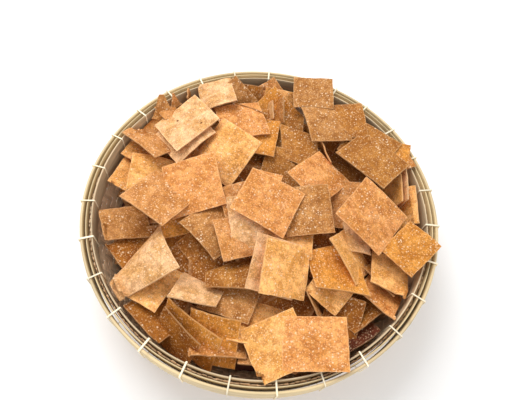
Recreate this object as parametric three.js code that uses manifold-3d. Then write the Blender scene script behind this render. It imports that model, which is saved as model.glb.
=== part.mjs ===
// A round woven bamboo basket heaped with thin square prawn crackers.
//
// Millimetres and degrees, +Z up. The origin is the middle of the basket's flat
// underside, +X is to the right and +Y away from the side the heap is seen from.

import * as THREE from 'three';
import Module from 'manifold-3d';
import { mergeVertices } from 'three/addons/utils/BufferGeometryUtils.js';

// ---------------------------------------------------------------- dimensions

const SEGMENTS = 60; // sides of every turned piece
const GAP = 0.3; // clearance between two separate pieces

const RIM_RADIUS = 170; // outside of the basket
const RIM_TOP = 75; // height of the basket
const BASE_RADIUS = 118; // the flat underside

// The rim is a sandwich of split bamboo, named here from the outside in.
const OUTER_HOOP = { thickness: 3.6, bottom: 47, bevel: 1.2 };
const LATH_RECESS = 1.6; // dark groove between the outer hoop and the lath
const LATH = { thickness: 1.8, bottom: 48, bevel: 0 };
const MAT_THICKNESS = 2.4; // woven wall, caught between the lath and the inner hoop
const MAT_SET_DOWN = 2; // how far the mat's cut edge stands below the rim
const INNER_HOOP = { thickness: 2.1, bottom: 52, bevel: 0 };
const WALL_CURVE = 0.55; // power of the wall's curve from the base up to the hoop
const WALL_STEPS = 6; // rows of facets up that curve
const WALL_CROWDING = 1.6; // power that crowds those rows towards the base

// Split-cane ties over the rim.
const TIE_COUNT = 27;
const TIE_PHASE = 94.5; // bearing of the first tie
const TIE_WIDTH = 1.5;
const TIE_THICKNESS = 0.9;
const TIE_SLACK = 0.45; // clearance inside a tie

// The crackers.
const CRACKER_THICKNESS = 1.8;
const BOWED = 2; // a cracker bowed by this much or more gets two facets
const CURLED = 4; // and from this bow on four
const JOIN_DISTANCE = 1e-4; // corners closer than this are one
const ROOM_TOP = 140; // the heap ends below this height
const ROOM_CLEARANCE = 0.5; // heap to basket
const CORE = { top: 60, radius: 150, drop: 22, dropRadius: 125, power: 2.2, rings: 4 };

// Crackers laid at random just above the core, seen only down the gaps. Their lean
// follows the core's slope, measured over this reach to either side.
const GOLDEN_ANGLE = 137.508;
const FILLER = {
  count: 18,
  seed: 7,
  size: 47,
  lift: 5,
  liftSpread: 2,
  leanSpread: 8,
  bearingSpread: 60,
  turnSpread: 90,
  maxRadius: 118,
  reach: 10,
};

// The crackers that show, from the bottom layer up. Each row is a name, the centre
// (x, y, z), the turn about Z, how far it leans and towards which bearing it slopes
// down, its width and depth, and how far it is bowed along its width, along its
// depth and twisted. An unevenly cut one adds its taper and skew, the share of half
// its width by which the far edge is longer and set to the side.
const CRACKERS = [
  // hidden ones that prop up the top layer
  ['H1', 104, 66, 70, 20, 45, 200, 40, 40, 0, 0, 0],
  ['H2', 56, 104, 66, 60, 45, 240, 40, 40, 0, 0, 0],
  ['H3', 108, 0, 67, -30, 45, 150, 40, 40, 0, 0, 0],
  ['H4', -40, 50, 64, 35, 40, 35, 40, 40, 0, 0, 0],
  ['H5', 46, -4, 67, -20, 45, 70, 40, 40, 0, 0, 0],
  ['H6', -30, 98, 64, -15, 45, 255, 40, 40, 0, 0, 0],
  ['H7', 126, 26, 48, 10, 20, 190, 44, 44, 0, 0, 0],
  ['H8', 122, -50, 58, 50, 45, 50, 36, 36, 0, 0, 0],
  ['H9', -84, 76, 59, 88, 70, 358, 30, 46, 0, 0, 0],
  ['H10', -127, 50, 45.5, 20, 70, 20, 30, 24, 0, 0, 0],
  ['H11', -89, 113, 44, 37, 45, 307, 20, 34, 0, 0, 0],
  ['H12', 32, -69, 68, 62, 80, 332, 24, 40, 0, 0, 0],
  ['H13', -5, -2, 73, 75, 60, 165, 30, 40, 0, 0, 0],
  ['H14', 122, -53, 47, 50, 70, 230, 36, 24, 0, 0, 0],
  // against the far side of the basket
  ['A11', -40, 128, 62, 0, 50, 270, 46, 44, 1, 0, 0],
  ['A12', -8, 137, 61, 42, 46, 268, 40, 40, 0, 0, 0],
  ['A13', -14, 128, 60, -6, 44, 272, 40, 38, 0, 0, 0],
  ['A10', -46, 122, 68, -36, 44, 285, 42, 44, 1, 0, 0],
  ['A4', -95, 121, 62, 4, 84, 4, 28, 12, 0, 0, 0],
  ['E19', -118, 84, 58, -18, 26, 320, 40, 40, 0, 0, 0],
  ['A0', -119, 108, 66, -4, 56, 350, 22, 22, 2, 0, 0],
  ['A0b', -107, 111, 66, 2, 60, 350, 22, 22, 2, 0, 0],
  ['A0c', -113, 99, 68, 5, 14, 250, 26, 22, 5, 0, 0],
  ['A15', 2, 127, 62, -4, 46, 266, 34, 44, 0, 1, 0],
  ['A14', 1, 121, 67, 50, 44, 262, 34, 42, 0, 0, 0],
  ['A17', 8, 98, 66, 0, 8, 265, 48, 44, 0, 0, 0],
  ['A16b', -7, 118, 67, -6, 72, 198, 22, 20, 0, 0, 0],
  ['A16', 3, 119, 68, -9, 70, 200, 26, 27, 0, 0, 0],
  // along the left wall
  ['E17', -132, 48, 60, -16, 24, 20, 30, 30, 0, 0, 0],
  ['E16', -131, 19, 58, -13, 24, 20, 40, 40, 0, 0, 0],
  ['E2', -126, -33, 61, 27, 22, 40, 45, 36, 1, 0, 1],
  ['E3', -104, -63, 56, 46, 30, 45, 48, 48, 0, 0, 0],
  ['E22', -75, -19, 66, 26, 16, 330, 44, 38, 0, 0, 0],
  ['E10', -44, -43, 62, -42, 12, 250, 44, 48, 2, 0, 0],
  // lower layers in the middle
  ['E20', -62, 48, 67, 14, 8, 90, 48, 46, 0, 0, 0],
  ['E21', -15, -4, 80, 24, 10, 250, 45, 44, 0, 0, 0],
  ['C9', 18, 46, 68, -8, 10, 265, 48, 46, 0, 0, 0],
  ['C10', -1, 9, 86, -10, 7, 215, 28, 40, 0, 0, 0],
  ['C11', 28, -28, 72, -2, 14, 80, 48, 44, 0, 0, 0],
  ['D4', 77, 15, 70, -1, 16, 240, 44, 48, 0, 0, 0],
  ['C5', 60, 70, 66, 25, 74, 25, 30, 28, 0, 0, 0],
  // along the right wall
  ['C3c', 130, 78, 79, -6, 4, 220, 24, 26, 0, 0, 0],
  ['C3b', 134, 72, 76, -60, 10, 225, 24, 22, 0, 0, 0],
  ['D8', 128, 42, 60, 4, 74, 182, 40, 40, 0, 0, 0],
  ['D8b', 136, 45, 62, 2, 80, 184, 36, 38, 0, 0, 0],
  ['D7', 141, 24, 60, 2, 68, 186, 36, 41, 2, 0, 0],
  // along the near wall
  ['E13', -16, -88, 62, -12, 16, 95, 48, 46, 0, 0, 0],
  ['E14', -76, -110, 54, -38, 26, 55, 46, 46, 0, 0, 0],
  ['E11', -93, -85, 60, -20, 16, 60, 47, 47, 0, 0, 0],
  ['F1', -22, -124, 56, 8, 32, 85, 48, 46, 1, 0, 0],
  ['F3', 26, -127, 55, -6, 34, 100, 50, 46, 1, 0, 0],
  ['F4', 62, -118, 55, 14, 30, 115, 46, 46, 1, 0, 0],
  ['F5', 61, -86, 59, 30, 66, 30, 30, 24, 0, 0, 0],
  ['D16b', 90, -100, 52, 38, 28, 130, 44, 44, 0, 0, 0],
  ['D16', 96, -83, 54, -48, 34, 140, 42, 34, 0, 0, 0],
  ['D15', 84, -93, 61, -12, 24, 222, 34, 38, 1, 0, 0],
  ['D14', 72, -71, 70, -33, 5, 258, 35, 36, 0, 0, 0],
  // upper left
  ['A5', -110, 19, 67, 6, 19, 16, 49, 46, 1, 0, 1],
  ['A3', -118, 62, 68, -33, 32, 68, 48, 50, 1, 0, 1],
  ['A2', -90, 67, 77, -44, 20, 195, 50, 50, 0, 2, 0],
  ['A1', -89, 78, 83, -46, 20, 178, 50, 54, 1, 0, 0],
  ['C8', -14, 81, 74, -2, 8, 80, 40, 51, 0, 1, 0],
  ['A8', -33, 93, 80, 23, 8, 75, 49, 47, 1, 1, 0],
  ['A9', -65, 121, 82, 21, 20, 158, 38, 41, 2, 0, 0],
  ['A7', -45, 49, 84, -33, 26, 215, 54, 55, 5, 1, 0],
  ['A6', -68, 7, 82, 21, 18, 232, 54, 55, 1, 2, 0],
  ['B1', -96, -11, 83, -27, 21, 61, 51, 52, 1, 0, 0],
  // upper right
  ['A18', 38, 140, 83, 6, 6, 262, 43, 38, 1, 0, 0],
  ['C7', 30, 73, 73, -20, 8, 190, 42, 38, 0, 0, 0, 0, -0.5],
  ['C2', 74, 111, 80, 11, 6, 190, 43, 44, 0, 2, 0],
  ['C1', 55, 102, 82, 18, 10, 33, 45, 46, 0, 1, 0],
  ['C3', 101, 82, 79, -32, 6, 190, 49, 46, 0, 0, 0],
  ['C4', 103, 63, 86, -37, 12, 66, 59, 49, 1, 0, 0],
  // centre
  ['D3', 52, 36, 80, -40, 14, 20, 45, 49, 0, 1, 0],
  ['D2', 43, -4, 84, 13, 10, 250, 45, 48, 1, 0, 0],
  ['E4', -39, -28, 76, -38, 12, 40, 49, 50, 5, 0, 0],
  ['E5', -15, -38, 80, 24, 10, 30, 44, 42, 0, 1, 0],
  ['E6', -5, -25, 84, 18, 14, 300, 44, 54, 1, 0, 0],
  ['D1', 5, -5, 92, -18, 10, 345, 55, 50, 1, 0, 1],
  ['E9', -19, -70, 73, -77, 28, 112, 32, 47, 5, 2, 0, 0.4],
  ['E7', 19, -63, 82, -2, 26, 328, 46, 50, 0, 1, 0],
  ['E8', 29, -67, 88, 3, 32, 332, 46, 47, 2, 0, 0],
  // right
  ['D12', 119, -68, 62, -35, 36, 50, 40, 42, 0, 0, 0],
  ['D13', 74, -54, 76, 104, 20, 76, 50, 48, 0, 2, 0, -0.22],
  ['D10', 88, -38, 74, -45, 46, 22, 46, 47, 1, 0, 0],
  ['D9', 93, -19, 71, 8, 18, 35, 24, 32, 1, 0, 0],
  ['D11', 126, -48, 65, -12, 28, 50, 38, 43, 1, 0, 0],
  ['D6', 140, -27, 82, -40, 8, 200, 36, 42, 1, 0, 0],
  ['D5', 103, -2, 88, -32, 18, 330, 55, 52, 1, 0, 0],
  // lower left
  ['E1', -101, -77, 76, -54, 26, 168, 41, 62, 8, 0, 0, 0.4, -0.25],
  ['E12', -45, -92, 70, 80, 44, 76, 37, 41, 0, 0, 0, 0.27],
  // leaning up the near wall
  ['D19', 10, -110, 63, -3, 22, 77, 46, 44, 1, 0, 0],
  ['D22', -58, -133, 58, -37, 60, 232, 45, 42, 1, 0, 0],
  ['D21', -47, -129, 60, -26, 58, 236, 60, 42, 2, 0, 0],
  ['D20', -26, -130, 65, -5, 44, 250, 45, 46, 3, 0, 0],
  ['D18', 29, -129, 75, 30, 8, 200, 50, 48, 1, 0, 0],
  ['D17', 59, -124, 81, 6, 9, 190, 54, 44, 1, 0, 0],
];

// ------------------------------------------------------ sizes that follow

const matTop = RIM_TOP - MAT_SET_DOWN;
const lathOuterRadius = RIM_RADIUS - OUTER_HOOP.thickness - LATH_RECESS;
const matOuterRadius = lathOuterRadius - LATH.thickness - GAP;
const matInnerRadius = matOuterRadius - MAT_THICKNESS;
const hoopOuterRadius = matInnerRadius - GAP;
const hoopInnerRadius = hoopOuterRadius - INNER_HOOP.thickness;
const tieInnerRadius = hoopInnerRadius - TIE_SLACK - TIE_THICKNESS;
const tieTop = RIM_TOP + GAP + TIE_THICKNESS;

// Radius of the woven wall's inner face at a height.
function wallRadius(height) {
  const climb = (height - MAT_THICKNESS) / (INNER_HOOP.bottom - MAT_THICKNESS);
  const share = Math.min(Math.max(climb, 0), 1) ** WALL_CURVE;
  return BASE_RADIUS + (matInnerRadius - BASE_RADIUS) * share;
}

// ---------------------------------------------------------------- materials

const bamboo = (color, roughness) =>
  new THREE.MeshStandardMaterial({ color, roughness, metalness: 0 });

const MATERIALS = {
  mat: bamboo('#a89b78', 0.75),
  outerHoop: bamboo('#dccb9c', 0.6),
  lath: bamboo('#d8c9a0', 0.6),
  innerHoop: bamboo('#b3a67c', 0.6),
  tie: bamboo('#e6dcbc', 0.6),
  crackers: bamboo('#c98a48', 0.7),
};

// ---------------------------------------------------------------- helpers

const radians = THREE.MathUtils.degToRad;
const degrees = THREE.MathUtils.radToDeg;
const part = new THREE.Group();

function addMesh(name, geometry, material) {
  const mesh = new THREE.Mesh(geometry, material);
  mesh.name = name;
  part.add(mesh);
  return mesh;
}

// A profile of [radius, height] points, listed up the outside and down the inside,
// turned about Z.
function turned(profile) {
  const points = profile.map(([radius, height]) => new THREE.Vector2(radius, height));
  const geometry = new THREE.LatheGeometry(points, SEGMENTS);
  return geometry.rotateX(Math.PI / 2);
}

// A hoop of split bamboo. The bevel planes off its four long edges.
function hoop(outerRadius, { thickness, bottom, bevel }) {
  const innerRadius = outerRadius - thickness;
  const corners = [
    [outerRadius, bottom, -1, 1],
    [outerRadius, RIM_TOP, -1, -1],
    [innerRadius, RIM_TOP, 1, -1],
    [innerRadius, bottom, 1, 1],
  ];
  const profile = corners.flatMap(([radius, height, inward, upward], index) => {
    const planed = [[radius + inward * bevel, height], [radius, height + upward * bevel]];
    return index % 2 === 0 ? planed : planed.reverse();
  });
  const outline = bevel > 0 ? profile : corners.map(([radius, height]) => [radius, height]);
  return turned([...outline, outline[0]]);
}

// ---------------------------------------------------------------- the basket

// The woven wall's inner face from the base up to the inner hoop, with the rows of
// facets closer together where it curves most.
function wallProfile() {
  const rise = INNER_HOOP.bottom - MAT_THICKNESS;
  const points = [];
  for (let step = 0; step <= WALL_STEPS; step += 1) {
    const height = MAT_THICKNESS + rise * (step / WALL_STEPS) ** WALL_CROWDING;
    points.push([wallRadius(height), height]);
  }
  return points;
}

// Moves a profile square to itself, outwards and down where the distance is positive.
function offsetProfile(points, distance) {
  return points.map(([radius, height], index) => {
    const before = points[Math.max(index - 1, 0)];
    const after = points[Math.min(index + 1, points.length - 1)];
    const run = after[0] - before[0];
    const rise = after[1] - before[1];
    const length = Math.hypot(run, rise);
    return [radius + (distance * rise) / length, height - (distance * run) / length];
  });
}

function wovenBowl() {
  const inner = wallProfile();
  const outer = offsetProfile(inner, MAT_THICKNESS).slice(1, -1)
    .map(([radius, height]) => [radius, Math.max(height, 0)]);
  return turned([
    [0, 0],
    [BASE_RADIUS, 0],
    ...outer,
    [matOuterRadius, INNER_HOOP.bottom],
    [matOuterRadius, matTop],
    [matInnerRadius, matTop],
    ...inner.reverse(),
    [0, MAT_THICKNESS],
  ]);
}

// A tie is one flat strip that starts under the inner hoop at the mat, goes up
// inside, over the top, down outside and back under the outer hoop to the mat.
function tie() {
  const innerFoot = INNER_HOOP.bottom - TIE_SLACK;
  const outerFoot = OUTER_HOOP.bottom - TIE_SLACK;
  const outside = RIM_RADIUS + TIE_SLACK + TIE_THICKNESS;
  const innerEnd = wallRadius(innerFoot - TIE_THICKNESS) - TIE_SLACK;
  const outerEnd = matOuterRadius + TIE_SLACK;
  const points = [
    [innerEnd, innerFoot - TIE_THICKNESS],
    [tieInnerRadius, innerFoot - TIE_THICKNESS],
    [tieInnerRadius, tieTop],
    [outside, tieTop],
    [outside, outerFoot - TIE_THICKNESS],
    [outerEnd, outerFoot - TIE_THICKNESS],
    [outerEnd, outerFoot],
    [outside - TIE_THICKNESS, outerFoot],
    [outside - TIE_THICKNESS, RIM_TOP + GAP],
    [tieInnerRadius + TIE_THICKNESS, RIM_TOP + GAP],
    [tieInnerRadius + TIE_THICKNESS, innerFoot],
    [innerEnd, innerFoot],
  ];
  const outline = points.map(([radius, height]) => new THREE.Vector2(radius, height));
  const shape = new THREE.Shape(outline);
  const geometry = new THREE.ExtrudeGeometry(shape, { depth: TIE_WIDTH, bevelEnabled: false });
  return geometry.translate(0, 0, -TIE_WIDTH / 2).rotateX(Math.PI / 2);
}

addMesh('woven_bowl', wovenBowl(), MATERIALS.mat);
addMesh('outer_hoop', hoop(RIM_RADIUS, OUTER_HOOP), MATERIALS.outerHoop);
addMesh('middle_lath', hoop(lathOuterRadius, LATH), MATERIALS.lath);
addMesh('inner_hoop', hoop(hoopOuterRadius, INNER_HOOP), MATERIALS.innerHoop);

for (let index = 0; index < TIE_COUNT; index += 1) {
  const name = `tie_${String(index + 1).padStart(2, '0')}`;
  const strip = addMesh(name, tie(), MATERIALS.tie);
  strip.rotation.z = radians(TIE_PHASE + (360 * index) / TIE_COUNT);
}

// ---------------------------------------------------------------- the crackers

const wasm = await Module();
wasm.setup();

// Joins a geometry's shared vertices and hands it to the solid library.
function toSolid(geometry) {
  const bare = geometry.clone();
  bare.deleteAttribute('normal');
  bare.deleteAttribute('uv');
  const merged = mergeVertices(bare, JOIN_DISTANCE);
  const index = merged.index.array;
  const triangles = [];
  for (let start = 0; start < index.length; start += 3) {
    const [a, b, c] = index.subarray(start, start + 3);
    if (a !== b && b !== c && c !== a) {
      triangles.push(a, b, c);
    }
  }
  return new wasm.Manifold(new wasm.Mesh({
    numProp: 3,
    vertProperties: new Float32Array(merged.attributes.position.array),
    triVerts: new Uint32Array(triangles),
  }));
}

function toGeometry(solid) {
  const { vertProperties, triVerts } = solid.getMesh();
  const geometry = new THREE.BufferGeometry();
  geometry.setAttribute('position', new THREE.BufferAttribute(vertProperties, 3));
  geometry.setIndex(new THREE.BufferAttribute(triVerts, 1));
  return geometry;
}

// Turns a piece about Z and then leans it, so that it slopes down towards a bearing.
function lay(turn, lean, downhill) {
  const bearing = radians(downhill);
  const hinge = new THREE.Vector3(-Math.sin(bearing), Math.cos(bearing), 0);
  const leaning = new THREE.Quaternion().setFromAxisAngle(hinge, radians(lean));
  const up = new THREE.Vector3(0, 0, 1);
  const turning = new THREE.Quaternion().setFromAxisAngle(up, radians(turn));
  return leaning.multiply(turning);
}

// Facets across a cracker: a flat one needs one and a curled one four.
function facetsFor(bow) {
  if (bow < BOWED) {
    return 1;
  }
  return bow < CURLED ? 2 : 4;
}

// One thin square cracker: a slab whose corners sink by its two bows, which is
// twisted from corner to corner and whose outline may taper and lean to the side.
function cracker([, x, y, z, turn, lean, downhill, width, depth, ...shape]) {
  const [bowWidth, bowDepth, twist, taper = 0, skew = 0] = shape;
  const across = facetsFor(bowWidth);
  const along = facetsFor(bowDepth);
  const slab = new THREE.BoxGeometry(width, depth, CRACKER_THICKNESS, across, along, 1);
  const position = slab.attributes.position;
  for (let index = 0; index < position.count; index += 1) {
    const u = position.getX(index) / (width / 2);
    const v = position.getY(index) / (depth / 2);
    const rise = twist * u * v - bowWidth * u * u - bowDepth * v * v;
    position.setX(index, (width / 2) * (u * (1 + taper * v) + skew * v));
    position.setZ(index, position.getZ(index) + rise);
  }
  const place = new THREE.Matrix4().compose(
    new THREE.Vector3(x, y, z),
    lay(turn, lean, downhill),
    new THREE.Vector3(1, 1, 1),
  );
  return slab.applyMatrix4(place);
}

// Height of the core's rounded top at a distance from the middle.
function coreHeight(radius) {
  return CORE.top - CORE.drop * (radius / CORE.dropRadius) ** CORE.power;
}

function core() {
  const top = [];
  for (let ring = CORE.rings; ring >= 0; ring -= 1) {
    const radius = (CORE.radius * ring) / CORE.rings;
    top.push([radius, coreHeight(radius)]);
  }
  return turned([[0, MAT_THICKNESS], [CORE.radius, MAT_THICKNESS], ...top]);
}

// The space that the heap may fill: the inside of the basket, with room for the
// ties, and everything over the rim.
function room() {
  const hoopRadius = tieInnerRadius - ROOM_CLEARANCE;
  const wall = offsetProfile(wallProfile(), -ROOM_CLEARANCE)
    .map(([radius, height]) => [Math.min(radius, hoopRadius), height]);
  const shelf = tieTop + ROOM_CLEARANCE;
  const wide = 2 * RIM_RADIUS;
  return turned([
    [0, MAT_THICKNESS + ROOM_CLEARANCE],
    ...wall,
    [hoopRadius, shelf],
    [wide, shelf],
    [wide, ROOM_TOP],
    [0, ROOM_TOP],
  ]);
}

// Repeatable draws between 0 and 1.
function seededDraws(seed) {
  let state = seed;
  return () => {
    state = (Math.imul(state, 1664525) + 1013904223) >>> 0;
    return state / 2 ** 32;
  };
}

// Rows like those of CRACKERS, spread evenly by the golden angle over the core.
function fillers() {
  const draw = seededDraws(FILLER.seed);
  const rows = [];
  for (let index = 0; index < FILLER.count; index += 1) {
    const radius = FILLER.maxRadius * Math.sqrt((index + 0.5) / FILLER.count);
    const bearing = GOLDEN_ANGLE * index;
    const fall = coreHeight(radius - FILLER.reach) - coreHeight(radius + FILLER.reach);
    const slope = degrees(Math.atan2(fall, 2 * FILLER.reach));
    const lean = slope + FILLER.leanSpread * (draw() - 0.5);
    const downhill = bearing + FILLER.bearingSpread * (draw() - 0.5);
    const height = coreHeight(radius) + FILLER.lift + FILLER.liftSpread * draw();
    const x = radius * Math.cos(radians(bearing));
    const y = radius * Math.sin(radians(bearing));
    const turn = FILLER.turnSpread * draw();
    rows.push(['filler', x, y, height, turn, lean, downhill, FILLER.size, FILLER.size, 0, 0, 0]);
  }
  return rows;
}

// The whole heap is one solid: the core with every cracker fused on, trimmed to
// the room it has. Loose scraps and sealed hollows are dropped.
function heap() {
  const crackers = [...fillers(), ...CRACKERS].map((row) => toSolid(cracker(row)));
  const fused = wasm.Manifold.union([toSolid(core()), ...crackers]);
  const pieces = fused.intersect(toSolid(room())).decompose();
  pieces.sort((one, other) => other.volume() - one.volume());
  return toGeometry(pieces[0]);
}

addMesh('cracker_heap', heap(), MATERIALS.crackers);

export default part;
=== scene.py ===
"""A round woven bamboo basket heaped with thin square prawn crackers.

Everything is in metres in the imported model's frame: +Z up, the origin in the middle of the
basket's underside, +X to the right of the camera and +Y away from it. Sizes that the heap and
the basket share are written in millimetres and degrees, as MM and radians() turn them.
"""

from math import cos, pi, radians, sin

import bmesh
import bpy
import numpy as np
from mathutils import Matrix, Vector


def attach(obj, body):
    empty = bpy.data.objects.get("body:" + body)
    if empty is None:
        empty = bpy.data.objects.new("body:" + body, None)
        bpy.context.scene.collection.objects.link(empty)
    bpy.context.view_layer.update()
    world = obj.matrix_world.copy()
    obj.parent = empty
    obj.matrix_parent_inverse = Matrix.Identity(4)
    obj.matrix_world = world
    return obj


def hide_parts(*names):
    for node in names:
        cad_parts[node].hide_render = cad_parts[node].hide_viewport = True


bl_info = {
    "name": "Prawn crackers in a basket",
    "version": (1, 0, 0),
    "blender": (4, 5, 0),
    "location": "View3D > Sidebar > Crackers",
    "description": "Builds a woven bamboo basket heaped with square prawn crackers",
    "category": "Add Mesh",
}

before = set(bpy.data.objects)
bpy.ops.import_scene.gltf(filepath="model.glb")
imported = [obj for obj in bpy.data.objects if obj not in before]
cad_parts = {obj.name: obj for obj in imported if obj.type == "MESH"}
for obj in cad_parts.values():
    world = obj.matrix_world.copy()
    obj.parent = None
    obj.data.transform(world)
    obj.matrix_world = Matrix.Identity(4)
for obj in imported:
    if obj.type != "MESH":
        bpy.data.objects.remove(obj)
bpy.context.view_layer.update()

MM = 0.001
BODY = "root"

# --- basket sizes (mm)

RIM_RADIUS = 170.0
RIM_TOP = 75.0
BASE_RADIUS = 118.0
OUTER_HOOP = {"thickness": 3.6, "bottom": 47.0}
LATH_RECESS = 1.6
LATH = {"thickness": 1.8, "bottom": 48.0}
MAT_THICKNESS = 2.4
MAT_TOP = RIM_TOP - 5.0  # the mat ends under the rim's top edge
INNER_HOOP = {"thickness": 2.1, "bottom": 52.0}
GAP = 0.3
WALL_CURVE = 0.55
TIE_COUNT = 27
TIE_PHASE = 94.5
TIE_SLACK = 0.45
TIE_THICKNESS = 0.9
TIE_RIBBON = 0.7  # thickness of the ribbon that is drawn in a tie's room

LATH_RADIUS = RIM_RADIUS - OUTER_HOOP["thickness"] - LATH_RECESS
MAT_OUTER_RADIUS = LATH_RADIUS - LATH["thickness"] - GAP
MAT_INNER_RADIUS = MAT_OUTER_RADIUS - MAT_THICKNESS
HOOP_OUTER_RADIUS = MAT_INNER_RADIUS - GAP
HOOP_INNER_RADIUS = HOOP_OUTER_RADIUS - INNER_HOOP["thickness"]
TIE_INNER_RADIUS = HOOP_INNER_RADIUS - TIE_SLACK - TIE_THICKNESS

# How a cracker keeps off the basket: its gap to the wall and to the ties, half its thickness, the
# lowest it may lie over the rim, how far inside the rim it starts to rise, how steeply, and how
# much it may be lifted.
CLEAR = {"wall": 1.8, "ties": 1.3, "half": 0.9, "shelf": RIM_TOP + GAP + TIE_THICKNESS + 0.5,
         "reach": 8.0, "slope": 0.6, "lift": 6.0}

# --- heap sizes (mm, degrees)

CORE = {"top": 60.0, "radius": 150.0, "drop": 22.0, "drop_radius": 125.0, "power": 2.2}
CORE_SINK = 1.5  # how far the core that shows lies under its height
CORE_GAP = 1.5  # from the core to the wall
FLOOR_GAP = 0.6  # from the core to the mat under it
FLOOR_INSET = 1.0  # from the core's foot to where the wall starts
LUMP_LENGTHS = (9.0, 14.0)
LUMP_FADE = 0.125  # share of the radius over which the lumps fade towards the middle
GOLDEN_ANGLE = 137.508

# The seeded crackers under those of the table: what they all share, and their two layers.
FILLER = {"size": 47.0, "max_lean": 8.0, "swing": 60.0, "span": 10.0, "spread": 2.0, "facets": 8}
LAYERS = (
    {"count": 18, "seed": 7, "lift": 5.0, "max_radius": 118.0, "first_bearing": 0.0},
    {"count": 70, "seed": 19, "lift": 1.5, "max_radius": 132.0, "first_bearing": 40.0},
)

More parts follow.
